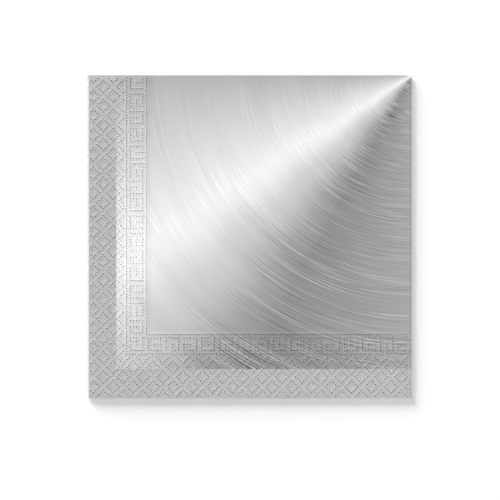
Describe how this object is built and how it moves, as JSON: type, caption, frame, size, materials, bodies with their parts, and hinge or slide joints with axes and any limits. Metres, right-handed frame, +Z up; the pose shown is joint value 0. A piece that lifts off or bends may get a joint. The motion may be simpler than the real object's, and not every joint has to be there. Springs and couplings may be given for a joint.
{
  "type": "folded paper napkin",
  "caption": "Square paper napkin folded in half twice, with a dot-embossed border and a brushed-metal print outside.",
  "frame": {"origin": "middle of the folded napkin's bounding box in X and Y, at the table plane that leaf 4 lies on", "axes": "+Z up from the table through the stack; +Y towards the edge with fold 1; +X towards the edge with fold 2; the cut edges are at -X and -Y"},
  "size_m": [0.1658, 0.165, 0.0028],
  "materials": {
    "metal_print_tissue": "satin silver-grey print on embossed tissue",
    "plain_tissue": "matt unprinted tissue"
  },
  "bodies": {
    "leaf_3": {"leaf_3_printed_ply": "metal_print_tissue", "leaf_3_middle_ply": "plain_tissue", "leaf_3_back_ply": "plain_tissue", "crease_2_3_printed_ply": "metal_print_tissue", "crease_2_3_middle_ply": "plain_tissue", "crease_2_3_back_ply": "plain_tissue", "crease_3_4_printed_ply": "metal_print_tissue", "crease_3_4_middle_ply": "plain_tissue", "crease_3_4_back_ply": "plain_tissue"},
    "leaf_2": {"leaf_2_printed_ply": "metal_print_tissue", "leaf_2_middle_ply": "plain_tissue", "leaf_2_back_ply": "plain_tissue", "crease_1_2_printed_ply": "metal_print_tissue", "crease_1_2_middle_ply": "plain_tissue", "crease_1_2_back_ply": "plain_tissue"},
    "leaf_1": {"leaf_1_printed_ply": "metal_print_tissue", "leaf_1_middle_ply": "plain_tissue", "leaf_1_back_ply": "plain_tissue", "crease_1_4_upper_printed_ply": "metal_print_tissue", "crease_1_4_upper_middle_ply": "plain_tissue", "crease_1_4_upper_back_ply": "plain_tissue"},
    "leaf_4": {"leaf_4_printed_ply": "metal_print_tissue", "leaf_4_middle_ply": "plain_tissue", "leaf_4_back_ply": "plain_tissue", "crease_1_4_lower_printed_ply": "metal_print_tissue", "crease_1_4_lower_middle_ply": "plain_tissue", "crease_1_4_lower_back_ply": "plain_tissue"}
  },
  "joints": [
    {"name": "fold_2", "type": "hinge", "parent": "leaf_3", "child": "leaf_2", "pos_m": [0.08148, 0, 0.00142], "axis": [0, 1, 0], "range_deg": [0, 180], "deforming": ["crease_2_3_printed_ply", "crease_2_3_middle_ply", "crease_2_3_back_ply", "crease_1_4_upper_printed_ply", "crease_1_4_upper_middle_ply", "crease_1_4_upper_back_ply", "crease_1_4_lower_printed_ply", "crease_1_4_lower_middle_ply", "crease_1_4_lower_back_ply"]},
    {"name": "fold_1", "type": "hinge", "parent": "leaf_2", "child": "leaf_1", "pos_m": [0, 0.08188, 0.00221], "axis": [-1, 0, 0], "range_deg": [0, 180], "deforming": ["crease_1_2_printed_ply", "crease_1_2_middle_ply", "crease_1_2_back_ply"]},
    {"name": "fold_1_lower_half", "type": "hinge", "parent": "leaf_3", "child": "leaf_4", "pos_m": [0, 0.08188, 0.00061], "axis": [1, 0, 0], "range_deg": [0, 180], "deforming": ["crease_3_4_printed_ply", "crease_3_4_middle_ply", "crease_3_4_back_ply"]}
  ],
  "couplings": [
    {"joint": "fold_1_lower_half", "follows": "fold_1", "ratio": 1}
  ]
}
